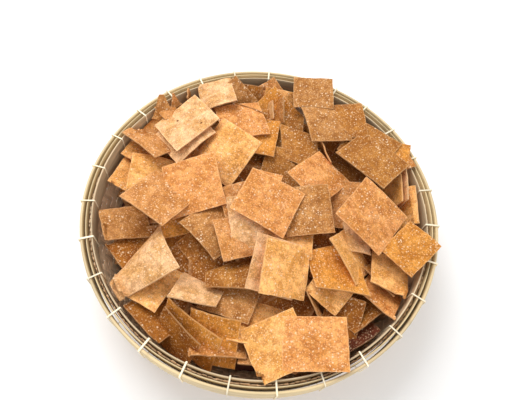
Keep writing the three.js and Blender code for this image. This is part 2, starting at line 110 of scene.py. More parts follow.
# The crackers that show, from the bottom layer up. Each row is a name, its tone, the centre
# (x, y, z), the turn about Z, how far it leans and towards which bearing it slopes down, its
# width and depth, and how far it is bowed along its width, along its depth and twisted. An
# unevenly cut one adds its taper and skew, the share of half its width by which the far edge is
# longer and set to the side. Values of 0 at a row's end are left out.
CRACKERS = [
    # hidden ones that prop up the top layer
    ("H2", "deep", 56, 104, 66, 60, 45, 240, 40, 40),
    ("H3", "deep", 108, 0, 67, -30, 45, 150, 40, 40),
    ("H4", "brown", -40, 50, 64, 35, 40, 35, 40, 40),
    ("H5", "deep", 46, -4, 67, -20, 45, 70, 40, 40),
    ("H6", "deep", -30, 98, 64, -15, 45, 255, 40, 40),
    ("H7", "deep", 126, 26, 48, 10, 20, 190, 44, 44),
    ("H8", "deep", 122, -50, 58, 50, 45, 50, 36, 36),
    ("H9", "deep", -84, 76, 59, 88, 70, 358, 30, 46),
    ("H10", "deep", -127, 50, 45.5, 20, 70, 20, 30, 24),
    ("H11", "deep", -89, 113, 44, 37, 45, 307, 20, 34),
    ("H12", "deep", 32, -69, 68, 62, 80, 332, 24, 40),
    ("H13", "deep", -5, -2, 73, 75, 60, 165, 30, 40),
    ("H14", "deep", 122, -53, 47, 50, 70, 230, 36, 24),
    # against the far side of the basket
    ("A11", "deep", -40, 128, 62, 0, 50, 270, 46, 44, 1),
    ("A12", "tan", -8, 137, 61, 42, 46, 268, 40, 40),
    ("A13", "tan", -14, 128, 60, -6, 44, 272, 40, 38),
    ("A10", "brown", -46, 122, 68, -36, 44, 285, 42, 44, 1),
    ("A4", "tan", -95, 121, 62, 4, 84, 4, 28, 12),
    ("E19", "light", -118, 84, 58, -18, 26, 320, 40, 40),
    ("A0", "brown", -117, 94, 80, 16, 48, 286, 15, 27, 0, 0, 0, -0.68),
    ("A0b", "tan", -106, 105, 74, 35, 69, 305, 11, 28, 0, 0, 0, -0.9),
    ("A0c", "tan", -111, 91, 77, 15, 10, 340, 18, 15, 2, 0, 0, 0.3, -0.3),
    ("A15", "light", 2, 127, 62, -4, 46, 266, 34, 44, 0, 1),
    ("A14", "gold", 1, 121, 67, 50, 44, 262, 34, 42),
    ("A17", "umber", 8, 98, 66, 0, 8, 265, 48, 44),
    ("A16b", "pale", -7, 118, 67, -6, 72, 198, 22, 20),
    ("A16", "brown", 3, 119, 68, -9, 70, 200, 26, 27),
    # along the left wall
    ("E17", "light", -132, 48, 60, -16, 24, 20, 30, 30),
    ("E16", "light", -131, 19, 58, -13, 24, 20, 40, 40),
    ("E2", "brown", -126, -33, 61, 27, 22, 40, 45, 36, 1, 0, 1),
    ("E3", "deep", -104, -63, 56, 46, 30, 45, 48, 48),
    ("E22", "gold", -75, -19, 66, 26, 16, 330, 44, 38),
    ("E10", "umber", -44, -43, 62, -42, 12, 250, 44, 48, 2),
    # lower layers in the middle
    ("E20", "tan", -62, 48, 67, 14, 8, 90, 48, 46),
    ("E21", "tan", -15, -4, 80, 24, 10, 250, 45, 44),
    ("C9", "umber", 18, 46, 68, -8, 10, 265, 48, 46),
    ("C10", "orange", -1, 9, 86, -10, 7, 215, 28, 40),
    ("C11", "light", 28, -28, 72, -2, 14, 80, 48, 44),
    ("D4", "tan", 77, 15, 70, -1, 16, 240, 44, 48),
    ("C5", "orange", 60, 70, 66, 25, 74, 25, 30, 28),
    # along the right wall
    ("C3c", "gold", 130, 78, 79, -6, 4, 220, 24, 26),
    ("C3b", "tan", 134, 72, 76, -60, 10, 225, 24, 22),
    ("D8", "light", 128, 42, 60, 4, 74, 182, 40, 40),
    ("D8b", "pale", 136, 45, 62, 2, 80, 184, 36, 38),
    ("D7", "light", 141, 24, 60, 2, 68, 186, 36, 41, 2),
    # along the near wall
    ("E13", "brown", -16, -88, 62, -12, 16, 95, 48, 46),
    ("E14", "deep", -76, -110, 54, -38, 26, 55, 46, 46),
    ("E11", "light", -93, -85, 60, -20, 16, 60, 47, 47),
    ("F1", "tan", -22, -124, 56, 8, 32, 85, 48, 46, 1),
    ("F3", "tan", 26, -127, 55, -6, 34, 100, 50, 46, 1),
    ("F4", "tan", 62, -118, 55, 14, 30, 115, 46, 46, 1),
    ("F5", "brown", 61, -86, 59, 30, 66, 30, 30, 24),
    # painted shade: D16b takes the near-black dark tone for the shadow it lies in
    ("D16b", "dark", 90, -100, 52, 38, 28, 130, 44, 44),
    ("D16", "deep", 96, -83, 54, -48, 34, 140, 42, 34),
    ("D15", "deep", 84, -93, 61, -12, 24, 222, 34, 38, 1),
    ("D14", "light", 72, -71, 70, -33, 5, 258, 35, 36),
    # upper left
    ("A5", "light", -110, 19, 67, 6, 19, 16, 49, 46, 1, 0, 1),
    ("A3", "tan", -118, 62, 68, -33, 32, 68, 48, 50, 1, 0, 1),
    ("A2", "pale", -90, 67, 77, -44, 20, 195, 50, 50, 0, 2),
    ("A1", "pale", -89, 78, 83, -46, 20, 178, 50, 54, 1),
    ("C8", "gold", -14, 81, 74, -2, 8, 80, 40, 51, 0, 1),
    ("A8", "orange", -33, 93, 80, 23, 8, 75, 49, 47, 1, 1),
    ("A9", "pale", -65, 121, 82, 21, 20, 158, 38, 41, 2),
    ("A7", "light", -45, 49, 84, -33, 26, 215, 54, 55, 5, 1),
    ("A6", "orange", -68, 7, 82, 21, 18, 232, 54, 55, 1, 2),
    ("B1", "tan", -96, -11, 83, -27, 21, 61, 51, 52, 1),
    # upper right
    ("A18", "brown", 38, 140, 83, 6, 6, 262, 43, 38, 1),
    ("C7", "umber", 30, 73, 73, -20, 8, 190, 42, 38, 0, 0, 0, 0, -0.5),
    ("C2", "umber", 74, 111, 80, 11, 6, 190, 43, 44, 0, 2),
    ("C1", "brown", 55, 102, 82, 18, 10, 33, 45, 46, 0, 1),
    ("C3", "umber", 101, 82, 79, -32, 6, 190, 49, 46),
    ("C4", "umber", 103, 63, 86, -37, 12, 66, 59, 49, 1),
    # centre
    ("D3", "orange", 52, 36, 80, -40, 14, 20, 45, 49, 0, 1),
    ("D2", "brown", 43, -4, 84, 13, 10, 250, 45, 48, 1),
    ("E4", "brown", -39, -28, 76, -38, 12, 40, 49, 50, 5),
    ("E5", "tan", -15, -38, 80, 24, 10, 30, 44, 42, 0, 1),
    ("E6", "pale", -5, -25, 84, 18, 14, 300, 44, 54, 1),
    ("D1", "orange", 5, -5, 92, -18, 10, 345, 55, 50, 1, 0, 1),
    ("E9", "umber", -19, -70, 73, -77, 28, 112, 32, 47, 5, 2, 0, 0.4),
    ("E7", "pale", 19, -63, 82, -2, 26, 328, 46, 50, 0, 1),
    ("E8", "light", 29, -67, 88, 3, 32, 332, 46, 47, 2),
    # right
    ("D12", "orange", 119, -68, 62, -35, 36, 50, 40, 42),
    ("D13", "gold", 74, -54, 76, 104, 20, 76, 50, 48, 0, 2, 0, -0.22),
    ("D10", "light", 88, -38, 74, -45, 46, 22, 46, 47, 1),
    ("D9", "pale", 93, -19, 71, 8, 18, 35, 24, 32, 1),
    ("D11", "light", 126, -48, 65, -12, 28, 50, 38, 43, 1),
    ("D6", "gold", 140, -27, 82, -40, 8, 200, 36, 42, 1),
    ("D5", "orange", 103, -2, 88, -32, 18, 330, 55, 52, 1),
    # lower left
    ("E1", "pale", -101, -77, 76, -54, 26, 168, 41, 62, 8, 0, 0, 0.4, -0.25),
    ("E12", "pale", -45, -92, 70, 80, 44, 76, 37, 41, 0, 0, 0, 0.27),
    # leaning up the near wall
    ("D19", "light", 10, -110, 63, -3, 22, 77, 46, 44, 1),
    ("D22", "deep", -58, -133, 58, -37, 60, 232, 45, 42, 1),
    ("D21", "gold", -47, -129, 60, -26, 58, 236, 60, 42, 2),
    ("D20", "gold", -26, -130, 65, -5, 44, 250, 45, 46, 3),
    ("D18", "light", 29, -129, 75, 30, 8, 200, 50, 48, 1),
    ("D17", "orange", 59, -124, 81, 6, 9, 190, 54, 44, 1),
]

# Small holes right through a cracker, by their distance from its middle along width and depth.
HOLES = {"A1": [(-7, -7), (15, 10)]}

TONES = ("pale", "light", "orange", "tan", "gold", "brown", "umber", "deep", "dark")

# How far the blotches of a tone redden, where it isn't the usual share.
BROWNING = {"pale": 0.5, "gold": 0.5, "light": 0.8, "orange": 1.0, "dark": 0.4}
USUAL_BROWNING = 0.7

# Uneven frying by layer: scale (1/m), detail, and the values of the noise that become 0 and 1.
MOTTLE = {"Patches": (60.0, 2.0, 0.38, 0.64), "Blotches": (170.0, 3.0, 0.34, 0.68),
          "Grain": (800.0, 3.0, 0.34, 0.66), "Clusters": (38.0, 1.0, 0.42, 0.62)}

# Geometry that is finer than the sizes above (mm): the crackers' edge ripples, their warp, and
# their blisters as a number and the least and greatest span (a share of half a side) and height.
RIPPLES = (0.20, 0.12)
WARPS = (0.40, 0.24, 0.12)
BLISTERS = {"count": 14, "span": (0.05, 0.14), "height": (0.10, 0.38)}

# --- camera (mm, degrees)

CAMERA = {
    "place": (0.0, -211.0, RIM_TOP + 397.0),
    "yaw": -1.7,
    "pitch": 61.6,
    "roll": 6.6,
    "focal_px": 470.0,
}
PHOTO_WIDTH = 512
SENSOR_WIDTH = 36.0

# --- stage (m)

FLOOR_REACH = 6.0
AIM = (0, 0, 0.06)
# name, place, side of the square light, share of the key light's power
LIGHTS = (("key", (-0.55, 0.65, 1.25), 0.9, 1.0), ("fill", (0.9, -0.7, 1.0), 1.2, 0.25))


# --- settings


def length_setting(name, description, millimetres):
    """A length that a user may change."""
    return bpy.props.FloatProperty(
        name=name, description=description, default=millimetres * MM, unit="LENGTH")


def colour_setting(name, description, colour):
    """A colour that a user may change."""
    return bpy.props.FloatVectorProperty(
        name=name, description=description, default=colour, subtype="COLOR")


class BASKET_PG_settings(bpy.types.PropertyGroup):
    """Sizes and colours of the bamboo basket."""

    strip_pitch: length_setting("Strip pitch", "Distance from one woven strip to the next", 5.6)
    strip_width: length_setting("Strip width", "Width of a woven strip", 5.3)
    strip_thickness: length_setting("Strip thickness", "Thickness of a woven strip", 0.8)
    tie_width: length_setting("Tie width", "Width of a cane tie over the rim", 1.6)
    mat_colour: colour_setting("Mat", "Colour of the woven strips", (0.82, 0.60, 0.40))
    hoop_colour: colour_setting("Hoops", "Colour of the split hoops", (0.66, 0.52, 0.31))
    inner_colour: colour_setting("Inner hoop", "Colour of the inner hoop", (0.60, 0.47, 0.31))
    tie_colour: colour_setting("Ties", "Colour of the cane ties", (0.82, 0.74, 0.58))


class CRACKER_PG_settings(bpy.types.PropertyGroup):
    """Size and colours of the crackers."""

    thickness: length_setting("Thickness", "Thickness of a cracker", 1.7)
    facets: bpy.props.IntProperty(
        name="Facets", description="Facets across a cracker that shows", default=28, min=4)
    pale: colour_setting("Pale", "Lightest crackers", (0.78, 0.45, 0.22))
    light: colour_setting("Light", "Light golden crackers", (0.84, 0.43, 0.14))
    orange: colour_setting("Orange", "Orange crackers", (0.70, 0.31, 0.095))
    tan: colour_setting("Tan", "Evenly fried crackers", (0.60, 0.27, 0.085))
    gold: colour_setting("Gold", "Golden crackers", (0.62, 0.255, 0.042))
    brown: colour_setting("Brown", "Browned crackers", (0.47, 0.21, 0.06))
    umber: colour_setting("Umber", "Well browned crackers", (0.40, 0.16, 0.028))
    deep: colour_setting("Deep", "Darkest crackers", (0.34, 0.12, 0.014))
    # painted shade: a near-black tone for a cracker that lies in the shadow deep in a gap
    dark: colour_setting("Dark", "Crackers deep in a gap", (0.12, 0.025, 0.006))
    # painted shade: the core's near-black colour stands in for the shadow at the bottom of the gaps
    core: colour_setting("Core", "Bottom of the gaps", (0.09, 0.03, 0.02))


class STAGE_PG_settings(bpy.types.PropertyGroup):
    """Floor and light."""

    floor_colour: colour_setting("Floor", "Colour of the floor", (0.90, 0.90, 0.90))
    key_power: bpy.props.FloatProperty(
        name="Key light", description="Power of the large soft light", default=16.0, unit="POWER")
    sky: bpy.props.FloatProperty(
        name="Sky", description="Strength of the white surroundings", default=0.75)


# --- mesh tools


def grid_faces(rows, columns, wrap, loop=False):
    """Corner numbers of the quads of a rows x columns grid; wrap joins the last column back on
    the first, and loop the last row."""
    row, column = np.meshgrid(np.arange(rows if loop else rows - 1),
                              np.arange(columns if wrap else columns - 1), indexing="ij")
    here, below, right = row * columns, (row + 1) % rows * columns, (column + 1) % columns
    quads = np.stack([here + column, here + right, below + right, below + column], axis=-1)
    return quads.reshape(-1, 4)


def repeat_faces(faces, copies, vertices_each):
    """The same faces for each of several equal copies stacked in one vertex list."""
    shift = np.arange(copies)[:, None, None] * vertices_each
    return (faces[None] + shift).reshape(-1, faces.shape[1])


def round_points(radius, bearing, height):
    """Points in metres from their distance to the axis, bearing and height in millimetres."""
    radius, bearing, height = np.broadcast_arrays(radius, bearing, height)
    return np.stack([radius * np.cos(bearing), radius * np.sin(bearing), height], axis=-1) * MM


def mesh_object(name, points, faces, attributes=None, sharp=None):
    """One mesh object at the origin from arrays: points in metres, quads as corner numbers and
    attributes as name: one or three values for each point."""
    mesh = bpy.data.meshes.new(name)
    points = np.asarray(points, dtype=np.float64).reshape(-1, 3)
    faces = np.asarray(faces, dtype=np.int32)
    mesh.vertices.add(len(points))
    mesh.vertices.foreach_set("co", points.astype(np.float32).ravel())
    mesh.loops.add(faces.size)
    mesh.loops.foreach_set("vertex_index", faces.ravel())
    mesh.polygons.add(len(faces))
    mesh.polygons.foreach_set(
        "loop_start", np.arange(0, faces.size, faces.shape[1], dtype=np.int32))
    mesh.polygons.foreach_set("use_smooth", np.ones(len(faces), dtype=bool))
    mesh.update(calc_edges=True)
    for key, values in (attributes or {}).items():
        values = np.asarray(values, dtype=np.float32).ravel()
        single = len(values) == len(points)
        layer = mesh.attributes.new(key, "FLOAT" if single else "FLOAT_VECTOR", "POINT")
        layer.data.foreach_set("value" if single else "vector", values)
    mesh.validate()
    if sharp is not None:
        mesh.set_sharp_from_angle(angle=radians(sharp))
    piece = bpy.data.objects.new(name, mesh)
    bpy.context.scene.collection.objects.link(piece)
    return piece


def dress(piece, material, slot, *nodes):
    """Gives a finished piece its material and body, and hides the solids it stands for. The slot
    is not used.
    """
    piece.data.materials.append(material)
    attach(piece, BODY)
    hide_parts(*nodes)
    return piece


# --- shader groups


class Wiring:
    """Adds nodes to a tree and links them by socket name or number."""

    def __init__(self, tree):
        self.tree = tree

    def plug(self, node, links):
        """Feeds a node's inputs from links, as socket: value or source."""
        for socket, source in links.items():
            if isinstance(source, bpy.types.NodeSocket):
                self.tree.links.new(source, node.inputs[socket])
            else:
                node.inputs[socket].default_value = source
        return node

    def node(self, kind, links=None, **settings):
        """A node of a kind, with settings as attributes and its links plugged in."""
        made = self.tree.nodes.new(kind)
        for key, value in settings.items():
            setattr(made, key, value)
        return self.plug(made, links or {})

    def group(self, name, build, links):
        """The outputs of a shader group, which is built the first time it is asked for."""
        tree = bpy.data.node_groups.get(name) or build(name)
        return self.node("ShaderNodeGroup", links, node_tree=tree).outputs

    def attribute(self, name, output="Vector"):
        """A mesh attribute."""
        return self.node("ShaderNodeAttribute", attribute_name=name).outputs[output]

    def math(self, operation, a, b):
        """The output of a Math node."""
        return self.node("ShaderNodeMath", {0: a, 1: b}, operation=operation).outputs[0]

    def span(self, share, low, high):
        """A value from low, where the share is 0, to high, where it is 1."""
        return self.math("ADD", self.math("MULTIPLY", share, high - low), low)

    def scaled(self, vector, factors):
        """A vector multiplied part by part."""
        links = {0: vector, 1: factors}
        return self.node("ShaderNodeVectorMath", links, operation="MULTIPLY").outputs[0]

    def ramp(self, value, low, high):
        """A smooth step of value from 0 at low to 1 at high."""
        links = {"Value": value, "From Min": low, "From Max": high}
        return self.node("ShaderNodeMapRange", links, interpolation_type="SMOOTHSTEP").outputs[0]

    def mix(self, share, a, b, blend="MIX"):
        """Colour a turning into colour b by a share."""
        links = {0: share, 6: a, 7: b}
        return self.node("ShaderNodeMix", links, data_type="RGBA", blend_type=blend).outputs[2]

    def tinted(self, colour, tint):
        """A colour multiplied by a tint."""
        return self.mix(1.0, colour, tint, "MULTIPLY")

    def noise(self, vector, scale, detail=3.0, roughness=0.55, output=0):
        """The output of a Noise texture."""
        links = {"Vector": vector, "Scale": scale, "Detail": detail, "Roughness": roughness}
        return self.node("ShaderNodeTexNoise", links).outputs[output]

    def bump(self, height, strength, millimetres):
        """The normal of a surface that a height of 1 raises by a distance."""
        links = {"Height": height, "Strength": strength, "Distance": millimetres * MM}
        return self.node("ShaderNodeBump", links).outputs["Normal"]


def new_group(name, inputs, outputs):
    """An empty shader node group with sockets as label: kind. Its wiring, what its inputs give
    and the node that takes its outputs."""
    tree = bpy.data.node_groups.new(name, "ShaderNodeTree")
    for in_out, sockets in (("INPUT", inputs), ("OUTPUT", outputs)):
        for label, kind in sockets.items():
            tree.interface.new_socket(name=label, in_out=in_out, socket_type=f"NodeSocket{kind}")
    wiring = Wiring(tree)
    return wiring, wiring.node("NodeGroupInput").outputs, wiring.node("NodeGroupOutput")


def fibre_group(name):
    """Streaks along a strip: noise on coordinates that are squeezed across and stretched along
    the fibre, given in metres as (along, across, seed)."""
    wiring, source, sink = new_group(
        name, {"Fibre": "Vector", "Colour": "Color", "Streaks": "Float"},
        {"Colour": "Color", "Height": "Float", "Roughness": "Float"})
    fibre, colour = source["Fibre"], source["Colour"]
    fine = wiring.noise(wiring.scaled(fibre, (22.0, 1500.0, 1500.0)), 1.0, detail=4.0)
    broad = wiring.noise(wiring.scaled(fibre, (9.0, 260.0, 900.0)), 1.0, detail=2.0)
    light = wiring.tinted(colour, (1.28, 1.24, 1.12, 1))
    dark = wiring.tinted(colour, (0.60, 0.56, 0.50, 1))
    toned = wiring.mix(wiring.ramp(broad, 0.3, 0.7), dark, light)
    halfway = wiring.mix(0.5, toned, colour)
    share = wiring.math("MULTIPLY", wiring.ramp(fine, 0.36, 0.66), source["Streaks"])
    wiring.plug(sink, {"Colour": wiring.mix(share, halfway, light), "Height": fine,
                       "Roughness": wiring.span(broad, 0.42, 0.67)})
    return wiring.tree


def speckle_group(name):
    """Pale specks: cells of a Voronoi texture whose random value passes a limit, each a dot that
    fades from its centre."""
    wiring, source, sink = new_group(
        name, {"Sheet": "Vector", "Cell": "Float", "Share": "Float", "Size": "Float"},
        {"Mask": "Float"})
    wobble = wiring.noise(source["Sheet"], 700.0, detail=1.0, output=1)
    shifted = wiring.node(
        "ShaderNodeVectorMath", {0: wobble, 1: (0.0012, 0.0012, 0.0), 2: source["Sheet"]},
        operation="MULTIPLY_ADD").outputs[0]
    cells = wiring.node(
        "ShaderNodeTexVoronoi", {"Vector": shifted, "Scale": source["Cell"]},
        voronoi_dimensions="3D").outputs
    chance = wiring.node("ShaderNodeSeparateColor", {0: cells["Color"]}).outputs
    chosen = wiring.math("LESS_THAN", chance[0], source["Share"])
    reach = wiring.math("MULTIPLY", source["Size"], wiring.span(chance[1], 0.5, 1.3))
    inside = wiring.math("SUBTRACT", 1.0, wiring.math("DIVIDE", cells["Distance"], reach))
    dot = wiring.ramp(inside, 0.0, 0.5)
    wiring.plug(sink, {"Mask": wiring.math("MULTIPLY", dot, chosen)})
    return wiring.tree


def mottle_group(name):
    """Uneven frying on the sheet's own plane: broad patches, blotches and a grain, each a noise
    steepened to 0..1, and clusters, a rarer patchy mask for the flecks."""
    wiring, source, sink = new_group(name, {"Sheet": "Vector"}, dict.fromkeys(MOTTLE, "Float"))
    for label, (scale, detail, low, high) in MOTTLE.items():
        cloud = wiring.noise(source["Sheet"], scale, detail=detail, roughness=0.62)
        wiring.plug(sink, {label: wiring.ramp(cloud, low, high)})
    return wiring.tree


# --- materials


def new_material(name):
    """An empty node material, its wiring and its Principled BSDF."""
    material = bpy.data.materials.new(name)
    material.use_nodes = True
    material.node_tree.nodes.clear()
    wiring = Wiring(material.node_tree)
    shader = wiring.node("ShaderNodeBsdfPrincipled")
    wiring.node("ShaderNodeOutputMaterial", {"Surface": shader.outputs["BSDF"]})
    return material, wiring, shader


def rgba(colour, factor=1.0):
    """A colour setting as four values, brightened by a factor."""
    return (*(channel * factor for channel in colour), 1.0)


def bamboo_material(name, colour, streaks, relief):
    """Split bamboo: fibre streaks, a tint of its own on each strip and a satin skin."""
    material, wiring, shader = new_material(name)
    tint = wiring.attribute("tint", "Fac")
    fibre = wiring.group("split_bamboo_fibre", fibre_group, {
        "Fibre": wiring.attribute("fibre"), "Streaks": streaks,
        "Colour": wiring.mix(tint, rgba(colour, 0.72), rgba(colour, 1.22))})
    wiring.plug(shader, {
        "Base Color": fibre["Colour"], "Roughness": fibre["Roughness"],
        "Normal": wiring.bump(fibre["Height"], 0.5, relief)})
    return material


def cracker_material(name, colour, browning):
    """Fried cracker: toasted and dry patches that redden in blotches, a grain, fine pale specks,
    clusters of whitish flecks, a painted edge highlight and a dry skin with small blisters."""
    material, wiring, shader = new_material(name)
    sheet = wiring.attribute("sheet")
    frying = wiring.group("uneven_frying", mottle_group, {"Sheet": sheet})
    base = wiring.mix(wiring.attribute("tint", "Fac"), rgba(colour, 0.94), rgba(colour, 1.06))
    toasted = wiring.tinted(base, (0.86, 0.77, 0.54, 1))
    dry = wiring.tinted(base, (1.14, 1.17, 1.18, 1))
    patchy = wiring.mix(frying["Patches"], toasted, dry)
    reddened = wiring.tinted(patchy, (1.00, 0.86, 0.82, 1))
    shade = wiring.mix(wiring.math("MULTIPLY", frying["Blotches"], browning), patchy, reddened)
    for label, low, high in (("Blotches", 1.14, 0.84), ("Grain", 0.78, 1.18)):
        shade = wiring.tinted(shade, wiring.span(frying[label], low, high))
    # paler is the colour of the fine specks and also of the painted edge highlight
    paler = wiring.mix(0.42, rgba(colour, 1.4), (1.0, 0.72, 0.42, 1))
    whitish = (0.95, 0.72, 0.48, 1)
    clustered = wiring.span(frying["Clusters"], 0.08, 0.50)
    # cells per metre, the share of them with a dot, and the dot's size, strength and colour
    for cell, share, size, strength, fleck in (
            (640.0, 0.75, 0.46, 0.7, paler), (430.0, clustered, 0.40, 0.75, whitish)):
        dots = wiring.group("fried_specks", speckle_group, {
            "Sheet": sheet, "Cell": cell, "Share": share, "Size": size})
        shade = wiring.mix(wiring.math("MULTIPLY", dots["Mask"], strength), shade, fleck)
    # painted highlight: every cracker edge is mixed halfway towards the paler colour, as if it
    # caught the light
    edge = wiring.math("MULTIPLY", wiring.attribute("edge", "Fac"), 0.5)
    relief = wiring.math("ADD", frying["Grain"], frying["Blotches"])
    wiring.plug(shader, {
        "Base Color": wiring.mix(edge, shade, paler), "Roughness": 0.62,
        "Specular IOR Level": 0.22, "Normal": wiring.bump(relief, 0.7, 0.35)})
    return material


def gap_shade_material(name, colour):
    """Painted shade for the bottom of the gaps: a dark crumbed cracker colour that stands in for
    the shadow deep in the heap.
    """
    material, wiring, shader = new_material(name)
    place = wiring.node("ShaderNodeTexCoord").outputs["Object"]
    lumps = wiring.noise(place, 180.0, detail=4.0)
    shade = wiring.mix(wiring.ramp(lumps, 0.35, 0.7), rgba(colour), rgba(colour, 1.9))
    wiring.plug(shader, {
        "Base Color": shade, "Roughness": 0.8, "Normal": wiring.bump(lumps, 0.8, 1.0)})
    return material


# --- the basket


def wall_radius(height):
    """Radius of the woven wall's inner face: it leaves the base level and steepens as a power of
    the height."""
    climb = (np.asarray(height) - MAT_THICKNESS) / (INNER_HOOP["bottom"] - MAT_THICKNESS)
    return BASE_RADIUS + (MAT_INNER_RADIUS - BASE_RADIUS) * np.clip(climb, 0, 1) ** WALL_CURVE


def bowl_profile():
    """The mat's middle surface by arc length from the centre: radius, height and the normal that
    points into the basket."""
    base_steps, wall_steps, crowding = 120, 400, 1.8
    share = np.linspace(0.0, 1.0, wall_steps) ** crowding
    heights = MAT_THICKNESS + (INNER_HOOP["bottom"] - MAT_THICKNESS) * share
    radius = np.concatenate([
        np.linspace(0, BASE_RADIUS, base_steps)[:-1], wall_radius(heights), [MAT_INNER_RADIUS]])
    height = np.concatenate([np.full(base_steps - 1, MAT_THICKNESS), heights, [MAT_TOP]])
    run, rise = np.gradient(radius), np.gradient(height)
    length = np.hypot(run, rise)
    inward, upward = -rise / length, run / length
    radius = radius - inward * MAT_THICKNESS / 2
    height = height - upward * MAT_THICKNESS / 2
    arc = np.concatenate([[0], np.cumsum(np.hypot(np.diff(radius), np.diff(height)))])
    return arc, radius, height, inward, upward


def onto_bowl(x, y, lift):
    """Presses a point of the flat mat into the bowl: its distance from the middle becomes arc
    length along the profile, and lift moves it along the normal into the basket."""
    arc, *profile = bowl_profile()
    reach = np.hypot(x, y)
    radius, height, inward, upward = (np.interp(reach, arc, part) for part in profile)
    return round_points(radius + inward * lift, np.arctan2(y, x), height + upward * lift)


def flat_hexagon(shoulder):
    """A ribbon's section one wide and one thick, flat out to its shoulders and pointed beyond."""
    return np.array([(-0.5, 0), (-shoulder, 0.5), (shoulder, 0.5), (0.5, 0), (shoulder, -0.5),
                     (-shoulder, -0.5)])


def ribbons(name, points, fibre, tint, flipped, sharp):
    """Closed ribbons with a six-sided section as one mesh, from arrays over ribbon, step and side:
    points in metres, the three parts of the fibre's coordinates, and the tint."""
    count, steps, sides = shape = points.shape[:3]
    fibre = np.stack([np.broadcast_to(part, shape) for part in fibre], axis=-1)
    start = np.array([[3, 2, 1, 0], [5, 4, 3, 0]])
    ends = np.concatenate([start, start[:, ::-1] + (steps - 1) * sides])
    faces = np.concatenate([repeat_faces(part, count, steps * sides)
                            for part in (grid_faces(steps, sides, True), ends)])
    return mesh_object(name, points, faces[:, ::-1] if flipped else faces,
                       {"fibre": fibre, "tint": np.broadcast_to(tint, shape)}, sharp)


def woven_strips(name, along_x, seed, settings):
    """One direction of the twill mat. Strip i runs along t at the offset i * pitch and goes over
    two strips and under two: lift = amplitude * tanh(k * sin(2 pi (t / pitch - i + 1/2) / 4)),
    with the other direction's lift the opposite. Its section is a flat hexagon."""
    pitch, width = settings.strip_pitch / MM, settings.strip_width / MM
    thick = settings.strip_thickness / MM
    reach = bowl_profile()[0][-1]
    half = int(reach / pitch)
    number = np.arange(-half, half + 1)
    offset = number * pitch
    random = np.random.default_rng(seed)
    length = np.sqrt(np.maximum(reach ** 2 - (np.abs(offset) + width / 2) ** 2, 1.0))
    steps, steepness, amplitude = 150, 1.7, 0.42
    sway, sway_length = 0.18, 31
    along = length[:, None] * np.linspace(-1, 1, steps)[None]
    way = 1 if along_x else -1
    crossing = 2 * pi * (0.5 + way * (along / pitch - number[:, None])) / 4
    wave = way * np.tanh(steepness * np.sin(crossing))
    section = flat_hexagon(0.42)
    wander = sway * np.sin(
        along[:, :, None] / sway_length + random.uniform(0, 6, (len(number), 1, 1)))
    across = offset[:, None, None] + section[:, 0] * width + wander
    lift = wave[:, :, None] * amplitude + section[:, 1] * thick
    place = (along[:, :, None], across) if along_x else (across, along[:, :, None])
    fibre = (along[:, :, None] * MM, section[:, 0] * width * MM, number[:, None, None] * 0.37)
    tint = random.uniform(0.1, 0.9, (len(number), 1, 1))
    return ribbons(name, onto_bowl(*place, lift), fibre, tint, along_x, sharp=35)


def hoop_surface(name, outer_radius, size, seed, swelling=0.0):
    """A hoop of split bamboo: a rounded-rectangle section |x|^n + |z|^n = 1 with n = 5, carried
    round the rim. Its thickness and top edge wander slowly, and at each bamboo joint the skin
    swells by a low bell curve."""
    random = np.random.default_rng(seed)
    steps, sides, joint_count, joint_length, rounding = 288, 28, 4, 1.6, 0.1
    bearing = np.linspace(0, 2 * pi, steps, endpoint=False)[:, None]
    turn = (np.linspace(0, 2 * pi, sides, endpoint=False) + pi / sides)[None]
    x, z = (np.sign(part) * np.abs(part) ** (2 / 5) for part in (np.cos(turn), np.sin(turn)))
    phase = random.uniform(0, 2 * pi, 6)
    wander = (np.sin(3 * bearing + phase[0]) + np.sin(7 * bearing + phase[1])) / 2
    ripple = (np.sin(5 * bearing + phase[2]) + np.sin(11 * bearing + phase[3])) / 2
    slimness, slim_wander, dip, dip_ripple = 0.94, 0.05, 0.25, 0.22
    thick = size["thickness"] * (slimness + slim_wander * wander)
    top = RIM_TOP - dip + dip_ripple * ripple
    middle, tall = (top + size["bottom"]) / 2, (top - size["bottom"]) / 2
    joints = phase[4] + np.arange(joint_count) * 2 * pi / joint_count
    joints = joints + random.uniform(-0.2, 0.2, joint_count)
    apart = np.angle(np.exp(1j * (bearing - joints[None])))
    swell = np.exp(-(apart * outer_radius / joint_length) ** 2).sum(axis=1, keepdims=True)
    centre = outer_radius - size["thickness"] / 2
    radius = centre + x * (thick / 2 - rounding) + swelling * swell * (x > 0)
    height = middle + z * tall
    points = round_points(radius, bearing, height)
    fibre = np.stack(np.broadcast_arrays(
        bearing * outer_radius * MM, height * MM + x * 0.004, seed), axis=-1)
    shade = 0.5 + 0.2 * wander - 0.4 * swell
    tint = np.clip(np.broadcast_to(shade, radius.shape), 0, 1)
    faces = grid_faces(steps, sides, True, loop=True)[:, ::-1]
    return mesh_object(name, points, faces, {"fibre": fibre, "tint": tint}, sharp=60)


